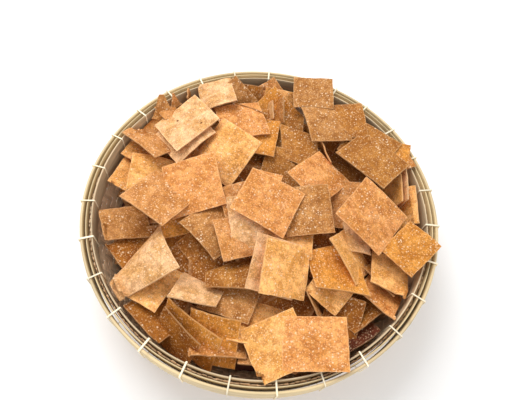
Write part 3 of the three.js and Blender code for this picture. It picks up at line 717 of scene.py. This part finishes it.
def tie_route(steps_per_corner=5, radius=0.9):
    """The middle line of a tie in its own upright plane, as (distance from the axis, height): from
    the mat under the inner hoop, up, over the rim, down and under the outer hoop, with its four
    corners rounded as quarter circles."""
    half, clear, into_mat, off_mat = TIE_RIBBON / 2, 0.2, 0.6, 0.4
    inner = HOOP_INNER_RADIUS - clear - half
    outer = RIM_RADIUS + clear + half
    top = RIM_TOP + clear + half
    inner_foot = INNER_HOOP["bottom"] - GAP - half
    outer_foot = OUTER_HOOP["bottom"] - GAP - half
    route = [(float(wall_radius(inner_foot)) - into_mat, inner_foot)]
    # each corner with the angle its curve starts at and the side its centre lies to
    for x, z, start, right, up in (
            (inner, inner_foot, 270, 1, 1), (inner, top, 180, 1, -1), (outer, top, 90, -1, -1),
            (outer, outer_foot, 0, -1, 1)):
        for step in range(steps_per_corner + 1):
            angle = radians(start - 90 * step / steps_per_corner)
            route.append((x + right * radius + radius * cos(angle),
                          z + up * radius + radius * sin(angle)))
    route.append((MAT_OUTER_RADIUS + off_mat, outer_foot))
    return np.array(route)


def rim_ties(name, settings):
    """All the ties as one mesh: a flat ribbon with a six-sided section carried along the tie's
    route, each at its own bearing, with its own width and a slight slant."""
    route = tie_route()
    random = np.random.default_rng(31)
    step_way = np.gradient(route, axis=0)
    step_way /= np.linalg.norm(step_way, axis=1, keepdims=True)
    normal = np.stack([-step_way[:, 1], step_way[:, 0]], axis=1)
    section = flat_hexagon(0.36)
    arc = np.concatenate([[0], np.cumsum(np.linalg.norm(np.diff(route, axis=0), axis=1))])
    share = arc / arc[-1] - 0.5
    climb = (route[:, 1] - INNER_HOOP["bottom"]) / (RIM_TOP - INNER_HOOP["bottom"])
    narrowing = np.clip(climb, 0.5, 1)
    width = settings.tie_width / MM * random.uniform(0.85, 1.15, TIE_COUNT)
    slant = random.uniform(-2.2, 2.2, TIE_COUNT)
    bearing = np.radians(TIE_PHASE + 360 * np.arange(TIE_COUNT) / TIE_COUNT)
    radial = route[:, None, :] + normal[:, None, :] * (section[:, 1] * TIE_RIBBON)[None, :, None]
    sideways = (section[None, None, :, 0] * width[:, None, None] * narrowing[None, :, None]
                + slant[:, None, None] * share[None, :, None])
    out, up = radial[None, :, :, 0], radial[None, :, :, 1]
    turn_cos, turn_sin = np.cos(bearing)[:, None, None], np.sin(bearing)[:, None, None]
    points = np.stack([out * turn_cos - sideways * turn_sin, out * turn_sin + sideways * turn_cos,
                       up + 0 * sideways], axis=-1) * MM
    fibre = (arc[None, :, None] * MM, sideways * MM, np.arange(TIE_COUNT)[:, None, None] * 1.7)
    tint = random.uniform(0.3, 1.0, TIE_COUNT)[:, None, None]
    return ribbons(name, points, fibre, tint, True, sharp=50)


# --- the crackers


def core_height(radius):
    """Height of the core's rounded top at a distance from the middle."""
    fall = (np.asarray(radius, dtype=float) / CORE["drop_radius"]) ** CORE["power"]
    return CORE["top"] - CORE["drop"] * fall


def seeded_draws(seed):
    """Repeatable draws between 0 and 1: state = state * factor + step, in 32 bits."""
    factor, step, limit = 1664525, 1013904223, 2 ** 32
    state = seed
    while True:
        state = (state * factor + step) % limit
        yield state / limit


def filler_rows(count, seed, lift, max_radius, first_bearing):
    """Rows like those of CRACKERS, spread evenly by the golden angle over the core."""
    draws = seeded_draws(seed)
    span = FILLER["span"]
    rows = []
    for index in range(count):
        radius = max_radius * ((index + 0.5) / count) ** 0.5
        bearing = first_bearing + GOLDEN_ANGLE * index
        slope = float(core_height(abs(radius - span)) - core_height(radius + span))
        lean = np.degrees(np.arctan2(slope, 2 * span)) + FILLER["max_lean"] * (next(draws) - 0.5)
        downhill = bearing + FILLER["swing"] * (next(draws) - 0.5)
        height = float(core_height(radius)) + lift + FILLER["spread"] * next(draws)
        rows.append(("filler", "deep", radius * cos(radians(bearing)),
                     radius * sin(radians(bearing)), height, 90 * next(draws), lean, downhill,
                     FILLER["size"], FILLER["size"]))
    return rows


def lay(turn, lean, downhill):
    """Rotation that turns a piece about Z and then leans it to slope down towards a bearing."""
    bearing = radians(downhill)
    hinge = Vector((-sin(bearing), cos(bearing), 0))
    leaning = Matrix.Rotation(radians(lean), 3, hinge)
    return np.array(leaning @ Matrix.Rotation(radians(turn), 3, "Z"))


def sheet_line(facets):
    """Grid lines across a cracker from -1 to 1: 0.6 s + 0.4 sin(pi s / 2), s evenly spaced."""
    even = np.linspace(-1, 1, facets + 1)
    return 0.6 * even + 0.4 * np.sin(pi / 2 * even)


def sheet_points(row, facets, thickness, random):
    """A cracker as two grids (top and underside) over u, v in -1..1, closer together towards the
    edge.

    Outline: x = w/2 (u (1 + taper v) + skew v) and y = d/2 v, each with a fine ripple of sines
    that grows as the cube towards the edge. Height: twist u v - bow_w u^2 - bow_d v^2, a slow
    warp of sines, and blisters that are round bells. Underside: the same less the thickness,
    which thins towards the edge."""
    x, y, z, turn, lean, downhill, width, depth, *bends = row[2:]
    bow_w, bow_d, twist, taper, skew = (*bends, 0, 0, 0, 0, 0)[:5]
    line = sheet_line(facets)
    u, v = np.meshgrid(line, line, indexing="ij")
    phase = random.uniform(0, 2 * pi, 12)
    long, short = RIPPLES
    ripple_u = long * np.sin(3.1 * v + phase[0]) + short * np.sin(11.0 * v + phase[1])
    ripple_v = long * np.sin(2.7 * u + phase[2]) + short * np.sin(12.0 * u + phase[3])
    across = width / 2 * (u * (1 + taper * v) + skew * v) + ripple_u * u ** 3
    along = depth / 2 * v + ripple_v * v ** 3
    warp = (WARPS[0] * np.sin(2.3 * u + phase[4]) * np.cos(2.1 * v + phase[5])
            + WARPS[1] * np.sin(4.6 * v + phase[6]) * np.cos(3.9 * u + phase[7])
            + WARPS[2] * np.sin(8.3 * u + phase[8]) * np.sin(7.7 * v + phase[9]))
    centres = random.uniform(-0.95, 0.95, (BLISTERS["count"], 2, 1, 1))
    spans = random.uniform(*BLISTERS["span"], (BLISTERS["count"], 1, 1))
    tall = random.uniform(*BLISTERS["height"], (BLISTERS["count"], 1, 1))
    away = ((u - centres[:, 0]) ** 2 + (v - centres[:, 1]) ** 2) / spans ** 2
    blisters = (tall * np.exp(-away)).sum(axis=0)
    middle = twist * u * v - bow_w * u ** 2 - bow_d * v ** 2 + warp - warp.mean()
    rim = np.maximum(np.abs(u), np.abs(v))
    thinning, edge_start, edge_width = 0.30, 0.955, 0.045
    half = thickness / MM / 2 * (1 - thinning * rim ** 10)
    top, under = middle + half + blisters, middle - half + blisters * 0.5
    sides = np.stack([np.stack([across, along, side], axis=-1) for side in (top, under)])
    placed = sides @ lay(turn, lean, downhill).T + np.array([x, y, z])
    flat = np.stack([across, along], axis=-1) * MM
    sheet = np.concatenate([flat, np.full(flat.shape[:2] + (1,), random.uniform(0, 50))], axis=-1)
    # mask for the painted highlight along the edges: 0 inside, rising to 1 over the outermost
    # facets
    edge = np.clip((rim - edge_start) / edge_width, 0, 1)
    return placed, np.stack([sheet, sheet + [0, 0, 3.3]]), np.stack([edge, edge])


def into_basket(sides):
    """Moves what would cross the basket: below the rim a cracker bends in along the wall, and over
    the rim it lies on top of it. Each point of the surface midway between its two sides keeps its
    bearing, and both sides go with it."""
    middle = sides.mean(axis=0)
    radius = np.hypot(middle[..., 0], middle[..., 1])
    height = middle[..., 2]
    limit = np.minimum(wall_radius(height) - CLEAR["wall"], TIE_INNER_RADIUS - CLEAR["ties"])
    inside = np.maximum(limit - radius, 0)
    ledge = CLEAR["shelf"] + CLEAR["half"] - CLEAR["slope"] * inside
    over = height > ledge - CLEAR["lift"]
    rest = np.where(over & (inside < CLEAR["reach"]), np.maximum(height, ledge), height)
    pull = np.where((radius > limit) & ~over, limit / np.maximum(radius, 1), 1)
    moved = np.stack([middle[..., 0] * pull, middle[..., 1] * pull, rest], axis=-1)
    return sides + (moved - middle)


def sheet_faces(facets, size, holes):
    """Quads of a closed cracker: the top grid, the underside grid turned over, and the wall that
    joins their borders. A hole leaves out the quad at its place, u = 2 x / width and
    v = 2 y / depth, from both grids, and gets a wall of its own."""
    count = facets + 1
    lower = count * count
    top = grid_faces(count, count, False)[:, ::-1]
    places = np.reshape(holes, (-1, 2)) * 2 / size
    cells = np.searchsorted(sheet_line(facets), places) - 1
    numbers = cells[:, 0] * facets + cells[:, 1]
    pierced = top[numbers]
    top = np.delete(top, numbers, axis=0)
    under = top[:, ::-1] + lower
    line = np.arange(facets)
    border = np.concatenate([
        line * count, facets * count + line, (facets - line) * count + facets, facets - line])
    start = np.concatenate([border, *pierced.T])
    end = np.concatenate([np.roll(border, -1), *np.roll(pierced, -1, axis=1).T])
    wall = np.stack([start, end, end + lower, start + lower], axis=-1)
    wall[:len(border)] = wall[:len(border), ::-1]
    return np.concatenate([top, under, wall])


def cracker_piece(name, rows, facets, thickness, seed):
    """Crackers of one tone as one mesh."""
    random = np.random.default_rng(seed)
    made = []
    for row in rows:
        placed, sheet, edge = sheet_points(row, facets, thickness, random)
        tint = np.full(edge.shape, random.uniform(0.1, 0.9))
        made.append((into_basket(placed) * MM, sheet, edge, tint))
    points, sheet, edge, tint = (np.stack(part) for part in zip(*made))
    each = 2 * (facets + 1) ** 2
    faces = np.concatenate([
        sheet_faces(facets, np.array(row[8:10]), HOLES.get(row[0], ())) + index * each
        for index, row in enumerate(rows)])
    # edge carries the mask of the painted edge highlight
    attributes = {"sheet": sheet, "edge": edge, "tint": tint}
    return mesh_object(name, points, faces, attributes, sharp=42)


def core_piece(name):
    """The plain core: rings out to the wall with height core_height(r) and low sine lumps that
    fade towards the middle, closed by like rings on the basket's floor."""
    steps, rings = 96, 28
    bearing = np.linspace(0, 2 * pi, steps, endpoint=False)[None]
    share = np.linspace(0, 1, rings)[:, None]
    radius = share * (wall_radius(core_height(CORE["radius"])) - CORE_GAP)
    fine, broad = (radius / length for length in LUMP_LENGTHS)
    lumps = np.sin(fine + 3 * np.sin(2 * bearing)) * np.sin(4 * bearing + broad)
    top = core_height(radius) - CORE_SINK + lumps * np.minimum(share / LUMP_FADE, 1)
    floor = np.full((rings, steps), MAT_THICKNESS + FLOOR_GAP)
    radii = np.concatenate([radius, (share * (BASE_RADIUS - FLOOR_INSET))[::-1]])
    points = round_points(radii, bearing, np.concatenate([top, floor]))
    piece = mesh_object(name, points, grid_faces(2 * rings, steps, True))
    # joins the points that the grid repeats at its poles
    shell = bmesh.new()
    shell.from_mesh(piece.data)
    bmesh.ops.remove_doubles(shell, verts=shell.verts, dist=1e-6)
    bmesh.ops.recalc_face_normals(shell, faces=shell.faces)
    shell.to_mesh(piece.data)
    shell.free()
    return piece


# --- operators


class BASKET_OT_mat(bpy.types.Operator):
    """Weave the bowl from two directions of split bamboo strips."""

    bl_idname = "basket.mat"
    bl_label = "Woven bowl"

    def execute(self, context):
        settings = context.scene.basket
        material = bamboo_material("woven_strip", settings.mat_colour, 0.45, 0.25)
        for name, along_x, seed in (("mat_warp", True, 5), ("mat_weft", False, 6)):
            dress(woven_strips(name, along_x, seed, settings), material, "mat", "woven_bowl")
        return {"FINISHED"}


class BASKET_OT_hoops(bpy.types.Operator):
    """Bend the three split-bamboo hoops of the rim."""

    bl_idname = "basket.hoops"
    bl_label = "Rim hoops"

    def execute(self, context):
        settings = context.scene.basket
        outer = bamboo_material("outer_hoop_bamboo", settings.hoop_colour, 0.6, 0.3)
        inner = bamboo_material("inner_hoop_bamboo", settings.inner_colour, 0.5, 0.3)
        dress(hoop_surface("rim_outer_hoop", RIM_RADIUS, OUTER_HOOP, seed=11, swelling=0.22),
              outer, "outer_hoop", "outer_hoop")
        dress(hoop_surface("rim_lath", LATH_RADIUS, LATH, seed=12), outer, "lath", "middle_lath")
        dress(hoop_surface("rim_inner_hoop", HOOP_OUTER_RADIUS, INNER_HOOP, seed=13), inner,
              "inner_hoop", "inner_hoop")
        return {"FINISHED"}


class BASKET_OT_ties(bpy.types.Operator):
    """Bind the rim with its split-cane ties."""

    bl_idname = "basket.ties"
    bl_label = "Rim ties"

    def execute(self, context):
        settings = context.scene.basket
        material = bamboo_material("cane_tie", settings.tie_colour, 0.5, 0.1)
        nodes = [f"tie_{index + 1:02d}" for index in range(TIE_COUNT)]
        dress(rim_ties("rim_ties", settings), material, "tie", *nodes)
        return {"FINISHED"}


class CRACKER_OT_heap(bpy.types.Operator):
    """Lay the crackers over their core."""

    bl_idname = "cracker.heap"
    bl_label = "Cracker heap"

    def execute(self, context):
        settings = context.scene.cracker
        # the core is painted near-black as the shadow deep in the gaps
        dress(core_piece("heap_core"), gap_shade_material("gap_shadow", settings.core),
              "crackers", "cracker_heap")
        for index, tone in enumerate(TONES):
            rows = [row for row in CRACKERS if row[1] == tone]
            material = cracker_material(
                f"cracker_{tone}", getattr(settings, tone), BROWNING.get(tone, USUAL_BROWNING))
            piece = cracker_piece(
                f"crackers_{tone}", rows, settings.facets, settings.thickness, 100 + index)
            dress(piece, material, "crackers", "cracker_heap")
        under = [row for layer in LAYERS for row in filler_rows(**layer)]
        piece = cracker_piece(
            "crackers_under", under, FILLER["facets"], settings.thickness, seed=200)
        dress(piece, bpy.data.materials["cracker_deep"], "crackers", "cracker_heap")
        return {"FINISHED"}


class STAGE_OT_studio(bpy.types.Operator):
    """Set up the pale floor, the soft light and the photograph's camera."""

    bl_idname = "stage.studio"
    bl_label = "Floor, light and camera"

    def execute(self, context):
        settings = context.scene.studio
        scene = context.scene
        corners = FLOOR_REACH * np.array([(-1, -1, 0), (1, -1, 0), (1, 1, 0), (-1, 1, 0)])
        floor = mesh_object("floor", corners, [[0, 1, 2, 3]])
        paint, wiring, shader = new_material("pale_floor")
        wiring.plug(shader, {"Base Color": rgba(settings.floor_colour), "Roughness": 0.9})
        floor.data.materials.append(paint)
        world = bpy.data.worlds.new("soft_white_sky")
        world.use_nodes = True
        Wiring(world.node_tree).plug(world.node_tree.nodes["Background"], {
            "Color": (1, 1, 1, 1), "Strength": settings.sky})
        scene.world = world
        for name, place, size, share in LIGHTS:
            self.add_light(name, place, size, settings.key_power * share)
        self.add_camera(scene)
        scene.view_settings.view_transform = "Standard"
        return {"FINISHED"}

    def add_light(self, name, place, size, power):
        """A square area light that faces the middle of the heap."""
        light = bpy.data.lights.new(name, "AREA")
        light.energy = power
        light.size = size
        lamp = bpy.data.objects.new(name, light)
        lamp.location = place
        aim = Vector(AIM) - Vector(place)
        lamp.rotation_euler = aim.to_track_quat("-Z", "Y").to_euler()
        bpy.context.scene.collection.objects.link(lamp)

    def add_camera(self, scene):
        """The photograph's camera: yaw about Z, pitch below the horizon and roll about its own
        axis, with the focal length given in pixels of the photograph's width."""
        yaw, pitch, roll = (radians(CAMERA[key]) for key in ("yaw", "pitch", "roll"))
        ahead = Vector((sin(yaw) * cos(pitch), cos(yaw) * cos(pitch), -sin(pitch)))
        level = Vector((cos(yaw), -sin(yaw), 0))
        upright = level.cross(ahead)
        right = cos(roll) * level + sin(roll) * upright
        up = cos(roll) * upright - sin(roll) * level
        place = Vector(CAMERA["place"]) * MM
        lens = bpy.data.cameras.new("photo_camera")
        lens.sensor_width = SENSOR_WIDTH
        lens.lens = lens.sensor_width * CAMERA["focal_px"] / PHOTO_WIDTH
        lens.clip_start = 0.01
        camera = bpy.data.objects.new("photo_camera", lens)
        columns = Matrix((right, up, -ahead)).transposed()
        camera.matrix_world = Matrix.Translation(place) @ columns.to_4x4()
        scene.collection.objects.link(camera)
        scene.camera = camera


class CRACKER_PT_panel(bpy.types.Panel):
    """Lists the pieces that can be built."""

    bl_label = "Crackers"
    bl_space_type = "VIEW_3D"
    bl_region_type = "UI"
    bl_category = "Crackers"

    def draw(self, context):
        for operator in OPERATORS:
            self.layout.operator(operator.bl_idname)


GROUPS = {"basket": BASKET_PG_settings, "cracker": CRACKER_PG_settings, "studio": STAGE_PG_settings}
OPERATORS = (BASKET_OT_mat, BASKET_OT_hoops, BASKET_OT_ties, CRACKER_OT_heap, STAGE_OT_studio)


def register():
    """Registers the settings, the operators and the panel."""
    for name, group in GROUPS.items():
        bpy.utils.register_class(group)
        setattr(bpy.types.Scene, name, bpy.props.PointerProperty(type=group))
    for shown in (*OPERATORS, CRACKER_PT_panel):
        bpy.utils.register_class(shown)


def unregister():
    """Takes the panel, the operators and the settings away again."""
    for shown in (CRACKER_PT_panel, *reversed(OPERATORS)):
        bpy.utils.unregister_class(shown)
    for name, group in GROUPS.items():
        delattr(bpy.types.Scene, name)
        bpy.utils.unregister_class(group)


def main():
    """Builds every piece in order."""
    register()
    bpy.ops.basket.mat()
    bpy.ops.basket.hoops()
    bpy.ops.basket.ties()
    bpy.ops.cracker.heap()
    bpy.ops.stage.studio()


if __name__ == "__main__":
    main()
